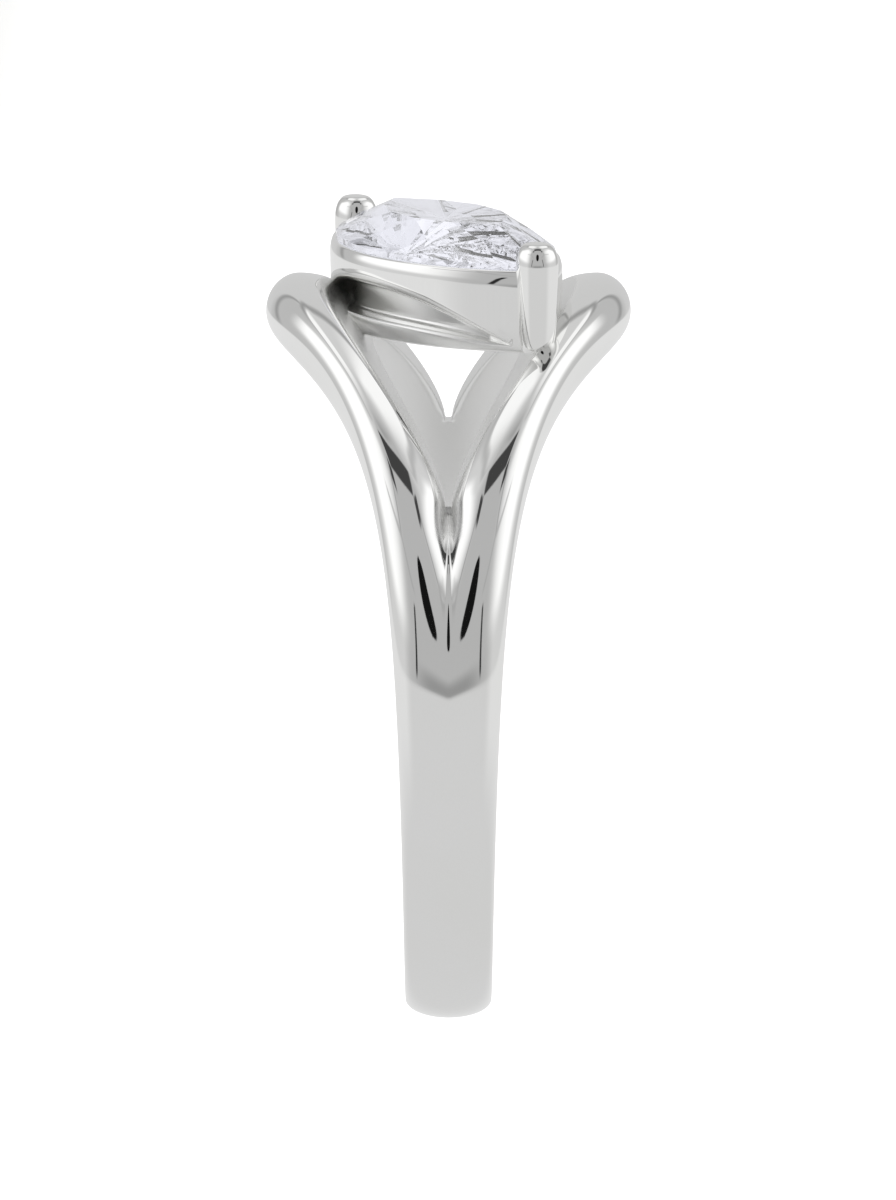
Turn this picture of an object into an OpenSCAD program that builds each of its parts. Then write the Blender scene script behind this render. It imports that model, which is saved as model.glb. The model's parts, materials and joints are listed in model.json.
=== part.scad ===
/* [Finger hole] */
// Inside diameter of the ring
finger_d = 17.35; // [15:0.05:20]

/* [Shank and arms] */
// Outside diameter over the crest of the shank
band_od = 21.0; // [20:0.1:24]
// Width of the shank at its foot, opposite the stone
foot_w = 2.35; // [2:0.05:3]
// Width across both arms where they loop over the top
arms_w = 10.26; // [9.8:0.02:10.8]
// Angle from the top at which the arms have come three quarters of the way in
spread_angle = 55; // [52:0.5:58]
// Height of the dome over the flank at the foot
foot_dome = 0.5; // [0.3:0.05:0.8]
// Height of the round crest over the flank on the arms
arm_dome = 0.94; // [0.9:0.02:1]
// Distance between the crests of the two arms at the top
crests_w = 8.58; // [8.4:0.02:8.7]
// Angle from the top at which the crests have come three quarters of the way in
crest_angle = 60.5; // [59:0.5:62]
// Sharpness of the crests' bend inwards, where a higher number gives a tighter bend
crest_power = 2.33; // [2.3:0.01:2.4]
// How far the flank turns in towards the finger at the foot
foot_inset = 0.12; // [0.05:0.01:0.2]
// How far it turns in at the top, where the arms are nearly round
arm_inset = 0.87; // [0.7:0.01:0.9]

/* [Fork] */
// Height of the bottom of the fork over the centre of the finger hole
fork_z = 5.05; // [4.8:0.05:5.4]
// Half of the width of the slot at the bottom of the fork
fork_half_w = 0.1; // [0.06:0.01:0.16]
// Height at which the inner walls of the arms stop opening out
fork_top_z = 10.5; // [10.4:0.1:10.6]
// Half of the clear width between the arms at that height
fork_top_half_w = 3.7; // [3.6:0.05:3.75]
// Bend of the inner walls, where 1 is straight
fork_power = 1.52; // [1.5:0.02:1.6]

/* [Head] */
// Turn of the stone's long axis away from the finger's axis
head_turn = 60; // [55:1:65]
// Length of the setting from point to point
head_l = 10.7; // [10.4:0.1:11]
// Width of the setting
head_w = 5.4; // [5.35:0.05:5.7]
// Underside of the lower rail over the centre of the finger hole
head_z = 9.04; // [8.9:0.02:9.1]
// Top of the upper rail
rail_z = 11.36; // [11.3:0.02:11.4]
// Offset of the head from the middle of the arms, along the finger
head_shift = -0.07; // [-0.1:0.01:0.1]
// Height of the lower rail at the window's ends
lower_rail_h = 0.42; // [0.3:0.02:0.5]
// Rise of the lower rail in the middle of the window
lower_rail_rise = 0.6; // [0.4:0.05:0.7]
// Depth of the recessed window in each long side
window_depth = 0.6; // [0.4:0.05:0.7]
// Length of the window
window_l = 9.5; // [9:0.1:9.6]
// Rise of the window's upper edge over its pointed ends
window_rise = 1.05; // [0.9:0.05:1.2]

/* [Prongs] */
// Width of a prong across the stone's point
prong_w = 1.12; // [1:0.02:1.2]
// Depth of a prong along the stone
prong_l = 1.2; // [1:0.05:1.25]
// Radius of the rounded edges
prong_r = 0.34; // [0.24:0.02:0.4]
// Distance of a prong's middle from the middle of the head
prong_out = 5.05; // [4.9:0.05:5.1]
// Top of the prongs over the centre of the finger hole
prong_z = 12.15; // [12:0.05:12.3]
// Foot of the prongs on the arms
prong_foot_z = 9.08; // [8.9:0.02:9.1]

/* [Stone] */
// Length of the stone from point to point
stone_l = 10.3; // [10:0.1:10.4]
// Width of the stone
stone_w = 5.2; // [5:0.05:5.25]
// Underside of the girdle over the centre of the finger hole
girdle_z = 11.38; // [11.36:0.01:11.42]
// Thickness of the girdle
girdle_h = 0.14; // [0.08:0.02:0.2]
// Height of the crown over the girdle
crown_h = 0.85; // [0.8:0.05:1]
// Depth of the pavilion under the girdle
pavilion_h = 2.1; // [1.9:0.05:2.2]
// Size of the table as a part of the stone
table_part = 0.56; // [0.5:0.01:0.62]
// Gap between the stone and the metal
seat_gap = 0.05; // [0.03:0.01:0.08]

/* [Hidden] */
$fn = 96;
finger_r = finger_d / 2;
band_r = band_od / 2;
// Depth that the swept form runs past the finger hole's wall before the hole is cut
bore_cut = 0.05;
// How far the hole's cutter runs past the arms, and the slot's past the shank
cut_margin = 2;
bore_l = arms_w + 2 * cut_margin;
// Slices round the ring, and steps over the crest and down the flank of a slice
slices = 96;
crest_steps = 10;
flank_steps = 5;
// Half of the width of the valley's floor, and how far the swept form reaches into the slot
valley_half_w = 0.03;
fork_margin = 0.12;
// How softly the inner side's width changes from the crest's own to the slot's wall
inner_blend = 0.1;
// Halvings that find the slot's edge
edge_steps = 12;
// Steps up each side of the fork
fork_steps = 12;
// Angle from the top at which both crests have merged, and how far above it they start to
merge_angle = 98;
merge_span = 29;
// How soon the crests reach their full height on the way up from the foot
dome_gain = 4;
// Steps along each half of the stone's outline, two to each girdle facet
stone_steps = 4;
// Heights and reaches of the facet junctions, as parts of the crown and the pavilion
star_part = 0.79;
star_h_part = 0.52;
lower_part = 0.42;
lower_h_part = 0.52;
// Steps along half of the window, and how flat its upper and lower edges are in the middle
window_steps = 14;
window_power = 3.8;
sill_power = 4;
// Facets round a prong's rounded edges, and the narrowing and height of its foot
prong_facets = 24;
prong_foot_part = 0.8;
prong_foot_h = 1;
// Hole in the head's underside, as parts of the head's length and of its width between the windows
hole_l_part = 0.5;
hole_w_part = 0.33;
hole_h = 2;
// Tilt from which the resting tilt is worked out
first_tilt = 11;
metal = [0.78, 0.78, 0.77];
stone_colour = [0.90, 0.91, 0.96];

// Share of the flare at an angle from the top, 1 at the top and near 0 at the foot
function flare(a) = 1 / pow(1 + pow(a / spread_angle, 2), 2);
// Half of the ring's width at an angle from the top
function out_x(a) = foot_w / 2 + (arms_w - foot_w) / 2 * flare(a);
// Height of the crest over the flank
function dome(a) =
    let (t = 1 - min(1, dome_gain * flare(a))) foot_dome + (arm_dome - foot_dome) * (1 - t * t);
// How far the flank turns in towards the finger
function inset(a) = foot_inset + (arm_inset - foot_inset) * flare(a);
// Where the crest lies, which slides to the middle below the fork
function crest_x(a) =
    crests_w / 2 / pow(1 + pow(abs(a) / crest_angle, crest_power), 2)
    * smooth(min(1, max(0, (merge_angle - abs(a)) / merge_span)));
// Smooth step from 0 to 1
function smooth(t) = t * t * t * (t * (6 * t - 15) + 10);
// Width from the crest to the foot of its inner side, which reaches the slot's wall
function inner_half(a) =
    let (p = out_x(a) - crest_x(a), q = crest_x(a) - gap_x((band_r - dome(a)) * cos(a)))
    (p + q + sqrt((p - q) * (p - q) + inner_blend * inner_blend)) / 2;
// Half of the gap between the arms' inner walls at a height
function gap_x(z) =
    z < fork_z ? 0
    : fork_half_w + (fork_top_half_w - fork_half_w)
        * pow(min(1, (z - fork_z) / (fork_top_z - fork_z)), fork_power);
// Radius of the outer surface at a place across the slice
function top_r(a, x) =
    let (
        h = dome(a), c = crest_x(a), w = x < c ? inner_half(a) : out_x(a) - c,
        u = min(1, abs(x - c) / w)
    )
    band_r - h + h * sqrt(1 - u * u);
// Place across the slice where the inner wall meets the outer surface, found by halving
function edge_x(a) = crest_x(a) < gap_x(band_r * cos(a)) ? crest_x(a)
    : halve(a, gap_x((band_r - dome(a)) * cos(a)), crest_x(a), edge_steps);
function halve(a, low, high, n) =
    let (x = (low + high) / 2)
    n == 0 ? x
    : gap_x(top_r(a, x) * cos(a)) > x ? halve(a, x, high, n - 1) : halve(a, low, x, n - 1);

// Outer side of one half of a slice, from the middle to the finger, as [across, radius] pairs
function half_slice(a) =
    let (
        c = crest_x(a), w = out_x(a) - c, h = dome(a), v = inner_half(a),
        x0 = max(valley_half_w, edge_x(a) - fork_margin),
        start = asin(max(-1, (x0 - c) / v)),
        flank_r = band_r - h, low_r = finger_r - bore_cut
    )
    concat(
        [for (i = [0:crest_steps])
            let (f = start + (90 - start) * i / crest_steps)
            [c + (f < 0 ? v : w) * sin(f), flank_r + h * cos(f)]],
        [for (i = [1:flank_steps])
            let (f = 90 * i / flank_steps)
            [c + w - inset(a) * (1 - cos(f)), flank_r - (flank_r - low_r) * sin(f)]]
    );

// The slices stand at their angles round the finger's axis, which is X, with the top at +Z
half_n = crest_steps + flank_steps + 1;
ring_n = 2 * half_n;
swept_points = [
    for (i = [0:slices - 1])
        let (a = 360 * i / slices - 180, half = half_slice(a))
        for (j = [0:ring_n - 1])
            let (
                side = j < half_n ? 1 : -1,
                p = side > 0 ? half[j] : half[ring_n - 1 - j]
            )
            [side * p[0], p[1] * sin(a), p[1] * cos(a)]
];
swept_faces = [
    for (i = [0:slices - 1], j = [0:ring_n - 1])
        let (
            i2 = (i + 1) % slices, j2 = (j + 1) % ring_n,
            p = i * ring_n + j, q = i * ring_n + j2, r = i2 * ring_n + j2, s = i2 * ring_n + j
        )
        for (face = [[p, r, q], [p, s, r]]) face
];
// Outline of the fork's slot in the plane of the finger's axis and the head
fork_side = [
    for (i = [0:fork_steps])
        let (z = fork_z + (fork_top_z - fork_z) * i / fork_steps) [gap_x(z), z]
];
fork_outline = concat(
    fork_side, [[fork_top_half_w, band_r + cut_margin], [-fork_top_half_w, band_r + cut_margin]],
    [for (i = [fork_steps:-1:0]) [-fork_side[i][0], fork_side[i][1]]]
);

// The ring rests on an arm and on the edge of the shank's foot, so its tilt is that line's slope
top_slice = half_slice(0);
foot_down = [for (p = half_slice(180)) [p[0], -p[1]]];
function reach(points, tilt) =
    [for (p = points) p[0] * cos(tilt) - p[1] * sin(tilt)];
function touch(points, tilt) =
    let (reaches = reach(points, tilt)) points[search(max(reaches), reaches)[0]];
function slope(tilt) =
    let (p = touch(top_slice, tilt), q = touch(foot_down, tilt)) atan((p[0] - q[0]) / (p[1] - q[1]));
rest_tilt = slope(slope(slope(first_tilt)));
rest_h = max([for (p = swept_points) p[0] * cos(rest_tilt) - p[2] * sin(rest_tilt)]);
// Lying down, the ring runs from its foot to the tip of the lower prong, and its middle goes to 0
prong_x = (prong_out + prong_l / 2 - prong_r) * cos(head_turn)
    + (prong_w / 2 - prong_r) * sin(head_turn) + head_shift;
prong_end = prong_x * sin(rest_tilt) + (prong_z - prong_r) * cos(rest_tilt) + prong_r;
foot_end = min([for (p = swept_points) p[0] * sin(rest_tilt) + p[2] * cos(rest_tilt)]);
rest_x = -(prong_end + foot_end) / 2;

// The shank and arms in one sweep, forked by a slot that runs straight through from side to side
module split_ring() {
    difference() {
        polyhedron(points = swept_points, faces = swept_faces, convexity = 8);
        rotate([90, 0, 0])
            linear_extrude(height = band_od + cut_margin, center = true) polygon(fork_outline);
    }
}

// A pointed oval of two equal arcs, its length along X, raised by h
module lens(l, w, h) {
    r = (l * l + w * w) / (4 * w);
    linear_extrude(height = h)
        intersection() {
            translate([0, r - w / 2]) circle(r = r);
            translate([0, w / 2 - r]) circle(r = r);
        }
}

// Edge of the window as [along, height] pairs, flat in the middle and falling to the pointed ends
function window_edge(rise, power) = [
    for (i = [-window_steps:window_steps])
        let (t = i / window_steps)
        [t * window_l / 2, head_z + lower_rail_h + rise * (1 - pow(abs(t), power))]
];

// The window's form, through the whole head, between the edges of the upper and lower rails
module window_cut() {
    upper = window_edge(window_rise, window_power);
    lower = window_edge(lower_rail_rise, sill_power);
    rotate([90, 0, 0])
        linear_extrude(height = 2 * head_w, center = true)
            polygon(concat(upper, [for (i = [2 * window_steps - 1:-1:1]) lower[i]]));
}

// Point on the stone's outline, where u runs from 0 to 360 and the points are at 0 and 180
function outline(u, size) =
    let (
        l = stone_l / 2, w = stone_w / 2, r = (l * l + w * w) / (2 * w),
        side = u < 180 ? 1 : -1, t = side > 0 ? u / 180 : (u - 180) / 180,
        turn = asin(l / r) * (1 - 2 * t)
    )
    [side * size * r * sin(turn), side * size * (r * cos(turn) - (r - w))];

// Corner of the stone at an outline place, a size and a height
function corner(u, size, z) = let (p = outline(u, size)) [p[0], p[1], z];

// The stone is built from triangles between rings of corners: table, stars, girdle and pavilion
mains = 8;
main_turn = 360 / mains;
outline_n = mains * stone_steps;
outline_turn = 360 / outline_n;
table_z = girdle_h + crown_h;
star_z = girdle_h + crown_h * star_h_part;
lower_z = -pavilion_h * lower_h_part;
stone_points = concat(
    [for (k = [0:mains - 1]) corner(k * main_turn, table_part, table_z)],
    [for (k = [0:mains - 1]) corner((k + 0.5) * main_turn, star_part, star_z)],
    [for (k = [0:outline_n - 1]) corner(k * outline_turn, 1, girdle_h)],
    [for (k = [0:outline_n - 1]) corner(k * outline_turn, 1, 0)],
    [for (k = [0:mains - 1]) corner((k + 0.5) * main_turn, lower_part, lower_z)],
    [[0, 0, -pavilion_h]]
);
star_at = mains;
girdle_at = 2 * mains;
under_at = girdle_at + outline_n;
lower_at = under_at + outline_n;
culet_at = lower_at + mains;
stone_faces = concat(
    [[for (k = [0:mains - 1]) mains - 1 - k]],
    [for (k = [0:mains - 1])
        let (next = (k + 1) % mains, last = (k + mains - 1) % mains)
        for (face = [
            [k, next, star_at + k],
            [k, star_at + k, girdle_at + k * stone_steps],
            [k, girdle_at + k * stone_steps, star_at + last]
        ]) face],
    [for (k = [0:mains - 1], i = [0:stone_steps - 1])
        let (g = k * stone_steps + i, h = (g + 1) % outline_n)
        for (face = [
            [star_at + k, girdle_at + h, girdle_at + g],
            [girdle_at + g, girdle_at + h, under_at + h],
            [girdle_at + g, under_at + h, under_at + g],
            [lower_at + k, under_at + g, under_at + h]
        ]) face],
    [for (k = [0:mains - 1])
        let (next = (k + 1) % mains, edge = under_at + next * stone_steps % outline_n)
        for (face = [[culet_at, lower_at + k, edge], [culet_at, edge, lower_at + next]]) face]
);

module cut_stone() {
    polyhedron(points = stone_points, faces = stone_faces, convexity = 4);
}

// The seat follows the stone with the gap all round, wider at the points
module seat() {
    grow = (stone_w + 2 * seat_gap) / stone_w;
    scale(grow) cut_stone();
}

module prong() {
    top_z = prong_z - prong_r;
    x = prong_l / 2 - prong_r;
    y = prong_w / 2 - prong_r;
    hull() {
        for (sx = [-1, 1], sy = [-1, 1]) {
            translate([sx * x, sy * y, top_z]) sphere(r = prong_r, $fn = prong_facets);
            translate([sx * x, sy * y * prong_foot_part, prong_foot_z])
                cylinder(r = prong_r, h = prong_foot_h, $fn = prong_facets);
        }
    }
}

// The head's metal, its long axis along X, with both long sides recessed under an arch
module head_metal() {
    back_w = head_w - 2 * window_depth;
    difference() {
        union() {
            difference() {
                translate([0, 0, head_z]) lens(head_l, head_w, rail_z - head_z);
                window_cut();
            }
            translate([0, 0, head_z]) lens(window_l, back_w, rail_z - head_z);
            for (side = [0, 180])
                rotate([0, 0, side]) translate([prong_out, 0, 0]) prong();
        }
        translate([0, 0, girdle_z]) seat();
        translate([0, 0, head_z - hole_h / 2])
            lens(head_l * hole_l_part, back_w * hole_w_part, hole_h);
    }
}

// Everything is made upright about the finger's axis, then laid down as the ring rests
module laid_down() {
    translate([rest_x, 0, rest_h]) rotate([0, 90 - rest_tilt, 0]) children();
}

// Turns the head's long axis to its place across the ring
module head_place() {
    translate([head_shift, 0, 0]) rotate([0, 0, -head_turn]) children();
}

module band_with_setting() {
    color(metal)
        laid_down()
            difference() {
                union() {
                    split_ring();
                    head_place() head_metal();
                }
                rotate([0, 90, 0])
                    cylinder(r = finger_r, h = bore_l, center = true);
            }
}

module marquise_stone() {
    color(stone_colour)
        laid_down()
            head_place() translate([0, 0, girdle_z]) cut_stone();
}

band_with_setting();
marquise_stone();
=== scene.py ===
# Split shank ring with a marquise stone, lying on its side on a pale studio sweep
import json
import math
import bmesh
import bpy
import numpy as np
from mathutils import Matrix, Vector

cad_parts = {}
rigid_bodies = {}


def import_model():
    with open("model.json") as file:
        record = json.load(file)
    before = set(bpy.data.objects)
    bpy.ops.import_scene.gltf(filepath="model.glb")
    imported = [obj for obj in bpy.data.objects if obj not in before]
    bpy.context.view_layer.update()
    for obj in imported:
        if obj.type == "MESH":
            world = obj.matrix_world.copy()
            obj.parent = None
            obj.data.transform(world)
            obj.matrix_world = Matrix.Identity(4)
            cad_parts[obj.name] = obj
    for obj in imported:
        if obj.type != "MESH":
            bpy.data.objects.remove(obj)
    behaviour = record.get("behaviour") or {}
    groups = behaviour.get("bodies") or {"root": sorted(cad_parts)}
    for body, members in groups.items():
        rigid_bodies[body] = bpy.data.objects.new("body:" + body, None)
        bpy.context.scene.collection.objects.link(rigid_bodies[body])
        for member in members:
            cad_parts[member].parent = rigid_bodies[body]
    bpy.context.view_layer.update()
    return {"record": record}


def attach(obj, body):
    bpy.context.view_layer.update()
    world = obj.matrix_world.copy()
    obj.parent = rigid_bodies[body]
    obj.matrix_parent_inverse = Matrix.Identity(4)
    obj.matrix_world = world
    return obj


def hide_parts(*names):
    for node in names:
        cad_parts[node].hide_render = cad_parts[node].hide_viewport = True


# start from an empty scene, without the default cube, camera and light
for leftover in list(bpy.data.objects):
    bpy.data.objects.remove(leftover)

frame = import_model()
mm = 0.001
weldDistance = 0.0005 * mm
sliverDistance = 0.0004 * mm
sharpAngle = math.radians(50)
halvings = 40

# The ring's own directions: X along the finger, Y away from the camera, Z towards the stone
fingerHole = [m for m in frame["record"]["mounts"] if m["name"] == "finger_hole"][0]
ringX = -np.array(fingerHole["axis"], float)
ringX = ringX / np.linalg.norm(ringX)
ringY = np.array([0.0, 1.0, 0.0])
ringZ = np.cross(ringX, ringY)
ringAxes = np.stack([ringX, ringY, ringZ])
ringCentre = np.array(fingerHole["pos_m"], float)
holeRadius = fingerHole["dims"]["r_mm"]


# Ring millimetres to scene metres: the centre plus each coordinate along its own direction
def place(points):
    return ringCentre + np.asarray(points, float) @ ringAxes * mm


# A ring direction in scene terms, without the centre
def aim(direction):
    return Vector(np.asarray(direction, float) @ ringAxes).normalized()


# Screen value to linear light, by the sRGB curve
def brightness(value):
    return np.where(value <= 0.04045, value / 12.92, ((value + 0.055) / 1.055) ** 2.4)


# Hex colour to linear light
def linear(hexCode):
    return tuple(float(brightness(int(hexCode[i:i + 2], 16) / 255)) for i in (1, 3, 5)) + (1.0,)


# Adds one node, sets its properties and inputs, and wires each linked input
def addNode(tree, kind, settings=None, links=None):
    node = tree.nodes.new(kind)
    for key, value in (settings or {}).items():
        if key in node.inputs.keys():
            node.inputs[key].default_value = value
        else:
            setattr(node, key, value)
    for key, source in (links or {}).items():
        tree.links.new(source, node.inputs[key])
    return node


def newMaterial(name):
    material = bpy.data.materials.new(name)
    material.use_nodes = True
    material.node_tree.nodes.clear()
    return material, material.node_tree


# 0 to 1 with level ends: 3t^2 - 2t^3
def smoothStep(t):
    t = np.clip(t, 0, 1)
    return t * t * (3 - 2 * t)


# 0 at the first end, 1 at the second, by the smooth step
def fade(value, ends):
    return smoothStep((value - ends[0]) / (ends[1] - ends[0]))


# From the first value to the second by a share
def mix(first, second, share):
    return first + (second - first) * share


# Quads between neighbouring rows and columns of a grid whose points run row by row
def gridFaces(rows, columns, start=0):
    r, c = np.meshgrid(np.arange(rows - 1), np.arange(columns - 1), indexing="ij")
    p = (start + r * columns + c).ravel()
    return np.stack([p, p + columns, p + columns + 1, p + 1], 1)


# Distance run along each row of a grid, from its first column
def runAcross(grid):
    steps = np.linalg.norm(np.diff(grid, axis=1), axis=2)
    return np.concatenate([np.zeros((len(grid), 1)), np.cumsum(steps, 1)], 1)


# Mesh object from points in scene metres, quads and metres-long UV, welded and facing outwards
def makePiece(name, points, faces, uv, material, smooth=True):
    mesh = bpy.data.meshes.new(name)
    mesh.from_pydata(points.tolist(), [], faces.tolist() if hasattr(faces, "tolist") else faces)
    if uv is not None:
        layer = mesh.uv_layers.new(name="surface")
        corners = np.zeros(len(mesh.loops), np.int32)
        mesh.loops.foreach_get("vertex_index", corners)
        layer.data.foreach_set("uv", uv[corners].ravel())
    solid = bmesh.new()
    solid.from_mesh(mesh)
    bmesh.ops.remove_doubles(solid, verts=solid.verts, dist=weldDistance)
    bmesh.ops.dissolve_degenerate(solid, edges=solid.edges, dist=sliverDistance)
    bmesh.ops.recalc_face_normals(solid, faces=solid.faces)
    openEdges = sum(1 for e in solid.edges if not e.is_manifold)
    solid.to_mesh(mesh)
    solid.free()
    mesh.polygons.foreach_set("use_smooth", [smooth] * len(mesh.polygons))
    mesh.materials.append(material)
    piece = bpy.data.objects.new(name, mesh)
    bpy.context.scene.collection.objects.link(piece)
    print(f"{name}: {len(mesh.polygons)} faces, {openEdges} open edges")
    return piece


# Places of a piece's welded points, in ring millimetres
def weldedPoints(piece):
    welded = np.zeros(len(piece.data.vertices) * 3)
    piece.data.vertices.foreach_get("co", welded)
    return (welded.reshape(-1, 3) - ringCentre) @ ringAxes.T / mm


# A number for each point of a mesh, which its material reads by name
def setPointValue(mesh, name, values):
    mesh.attributes.new(name, "FLOAT", "POINT").data.foreach_set("value", values.ravel().astype(np.float32))


# Polished metal. A mirror finish over white gold reads as pale grey with a faint warmth; the last
# buffing leaves hair-fine lines along the sweep, and handling leaves soft, slightly hazier patches
def rhodiumMirrorPolished(settings):
    material, tree = newMaterial("white gold, rhodium plated and mirror polished")
    coordinates = addNode(tree, "ShaderNodeTexCoord")
    surface = addNode(tree, "ShaderNodeUVMap", {"uv_map": "surface"})
    # buffing lines run along the piece, so they are long in U and narrow in V
    lines = addNode(tree, "ShaderNodeMapping", {"Scale": settings["lineScale"]}, {"Vector": surface.outputs["UV"]})
    buffing = addNode(tree, "ShaderNodeTexNoise", {"Scale": 1.0, "Detail": 3.0, "Roughness": 0.6},
                      {"Vector": lines.outputs["Vector"]})
    haze = addNode(tree, "ShaderNodeTexNoise", {"Scale": settings["hazeScale"], "Detail": 4.0, "Roughness": 0.5},
                   {"Vector": coordinates.outputs["Object"]})
    levels = {"From Min": 0.35, "From Max": 0.75, "To Min": settings["roughLow"], "To Max": settings["roughHigh"]}
    sheen = addNode(tree, "ShaderNodeMapRange", levels, {"Value": haze.outputs["Fac"]})
    tint = addNode(tree, "ShaderNodeMix", {"data_type": "RGBA"}, {"Factor": haze.outputs["Fac"]})
    tint.inputs["A"].default_value = linear(settings["colour"])
    tint.inputs["B"].default_value = linear(settings["warmColour"])
    relief = addNode(tree, "ShaderNodeBump", {"Strength": settings["lineStrength"], "Distance": settings["lineDepth"]},
                     {"Height": buffing.outputs["Fac"]})
    satin = addNode(tree, "ShaderNodeAttribute", {"attribute_name": "satin"})
    rough = addNode(tree, "ShaderNodeMapRange", {"To Max": settings["roughInside"]},
                    {"Value": satin.outputs["Fac"], "To Min": sheen.outputs["Result"]})
    shader = addNode(tree, "ShaderNodeBsdfPrincipled", {"Metallic": 1.0},
                     {"Base Color": tint.outputs["Result"], "Roughness": rough.outputs["Result"],
                      "Normal": relief.outputs["Normal"]})
    addNode(tree, "ShaderNodeOutputMaterial", None, {"Surface": shader.outputs["BSDF"]})
    return material


metalLook = {
    "colour": "#F5F5F5",
    "warmColour": "#F1F1EF",
    # real buffing lines are about 0.01 mm; drawn 0.05 mm wide and 4 mm long so that they show at all
    "lineScale": (1 / (4 * mm), 1 / (0.05 * mm), 1.0),
    "lineStrength": 0.02,
    "lineDepth": 0.002 * mm,
    # finger haze in patches of about 3 mm
    "hazeScale": 1 / (3 * mm),
    "roughLow": 0.02,
    "roughHigh": 0.05,
    # the inside keeps the satin left by the ring mandrel
    "roughInside": 0.3,
}
whiteGold = rhodiumMirrorPolished(metalLook)

# Shank and arms: one domed sweep about the finger's axis, forked by a slot that opens upwards
band = {
    "outerRadius": 10.5,
    "footWidth": 2.35,
    "armsWidth": 10.26,
    "spreadAngle": 55.0,
    "footDome": 0.5,
    "armDome": 0.94,
    "domeGain": 4.0,
    "crestsWidth": 8.58,
    "crestAngle": 60.5,
    "crestPower": 2.33,
    "innerBlend": 0.1,
    "footInset": 0.12,
    "armInset": 0.87,
    "flankRun": 0.05,
    "comfort": 0.12,
    "mergeAngle": 98.0,
    "mergeSpan": 29.0,
    "forkBottom": 5.25,
    "forkBottomHalf": 0.1,
    "forkTop": 10.5,
    "forkTopHalf": 3.7,
    "forkPower": 1.43,
    "forkSearch": (40.0, 80.0),
    "slopeStep": 1e-4,
    "leastCosine": 0.1,
    "edgeRound": 0.15,
    # the slot's edges are rounded less near the fork and end softly, within these degrees
    "forkEdgeShare": 0.3,
    "forkEdgeRun": 12.0,
    "lowEdgeRun": 4.0,
    "wallShare": 0.4,
    "holeEdgeRound": 0.2,
    # satin inside the finger hole, on the slot's walls, and further out at the fork between two heights
    "satinDepth": 0.3,
    "satinFade": 0.1,
    "slotSatin": 0.05,
    "slotSatinSoft": 0.5,
    "forkSatin": 0.42,
    "forkSatinTop": (5.9, 5.2),
    "forkSatinFoot": (4.3, 4.7),
    "rows": (78, 16, 150),
    "skinColumns": 30,
    "flankColumns": 16,
    "cornerColumns": 5,
    "floorColumns": 17,
    "wallColumns": 12,
    "valleyColumns": 5,
}


# The smooth step with even bending at both ends: 6t^5 - 15t^4 + 10t^3
def smootherStep(t):
    t = np.clip(t, 0, 1)
    return t * t * t * (t * (6 * t - 15) + 10)


# Share of the flare at an angle from the top: 1 / (1 + (angle / spread)^2)^2
def flare(a):
    return 1 / (1 + (a / band["spreadAngle"]) ** 2) ** 2


# Half of the ring's width: the foot's, widened to the arms' by the flare
def halfWidth(a):
    return mix(band["footWidth"], band["armsWidth"], flare(a)) / 2


# Height of the dome over the flank, low at the foot and full on the arms: 1 less the square of what
# the flare still lacks
def domeHeight(a):
    lack = 1 - np.minimum(1, band["domeGain"] * flare(a))
    return mix(band["footDome"], band["armDome"], 1 - lack * lack)


# Crest's place across: half of the crests' distance over (1 + (angle / crest angle)^power)^2, brought
# to the middle by a smooth step where the two arms merge
def crestPlace(a):
    spread = (1 + (np.abs(a) / band["crestAngle"]) ** band["crestPower"]) ** 2
    return band["crestsWidth"] / 2 / spread * smootherStep((band["mergeAngle"] - a) / band["mergeSpan"])


# Half of the slot's width at a height: a power curve between its bottom and top widths
def gapAt(z):
    t = np.clip((z - band["forkBottom"]) / (band["forkTop"] - band["forkBottom"]), 0, 1)
    return mix(band["forkBottomHalf"], band["forkTopHalf"], t ** band["forkPower"])


# Width of the crest's inner side: the outer side's, or what reaches the slot's wall at the flank's
# radius, by a soft maximum, half of the sum plus the root of the difference and the blend squared
def innerWidth(a):
    outer = halfWidth(a) - crestPlace(a)
    toWall = crestPlace(a) - gapAt((band["outerRadius"] - domeHeight(a)) * np.cos(np.radians(a)))
    return (outer + toWall + np.sqrt((outer - toWall) ** 2 + band["innerBlend"] ** 2)) / 2


# Radius of the outer surface: a quarter ellipse on each side of the crest
def skinRadius(a, x):
    crest, dome = crestPlace(a), domeHeight(a)
    width = np.where(x < crest, innerWidth(a), halfWidth(a) - crest)
    u = np.clip(np.abs(x - crest) / width, 0, 1)
    return band["outerRadius"] - dome + dome * np.sqrt(1 - u * u)


# Radius inside the valley: a parabola that meets the outer surface with its slope at the strip's edge
def valleyRadius(a, x):
    edge, step = band["forkBottomHalf"], band["slopeStep"]
    slope = (skinRadius(a, edge + step) - skinRadius(a, edge - step)) / (2 * step)
    return skinRadius(a, edge) + slope * (x * x - edge * edge) / (2 * edge)


# Angle at which a column of the valley reaches the slot's bottom, found by halving
def slotFront(x):
    low, high = (np.full_like(x, end) for end in band["forkSearch"])
    for step in range(halvings):
        middle = (low + high) / 2
        above = valleyRadius(middle, x) * np.cos(np.radians(middle)) > band["forkBottom"]
        low, high = np.where(above, middle, low), np.where(above, high, middle)
    return (low + high) / 2


# Quadratic curve between two points that rounds off the corner between them
def roundCorner(first, corner, last, count):
    t = np.linspace(0, 1, count)[None, :, None]
    return first[:, None] * (1 - t) ** 2 + corner[:, None] * 2 * t * (1 - t) + last[:, None] * t * t


# A row's (across, radius) pairs at its angle, as ring coordinates on the camera's side
def aroundFinger(pairs, a):
    turn = np.radians(a)[:, None] if a.ndim == 1 else np.radians(a)
    return np.stack([pairs[..., 0], -pairs[..., 1] * np.sin(turn), pairs[..., 1] * np.cos(turn)], -1)


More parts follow.
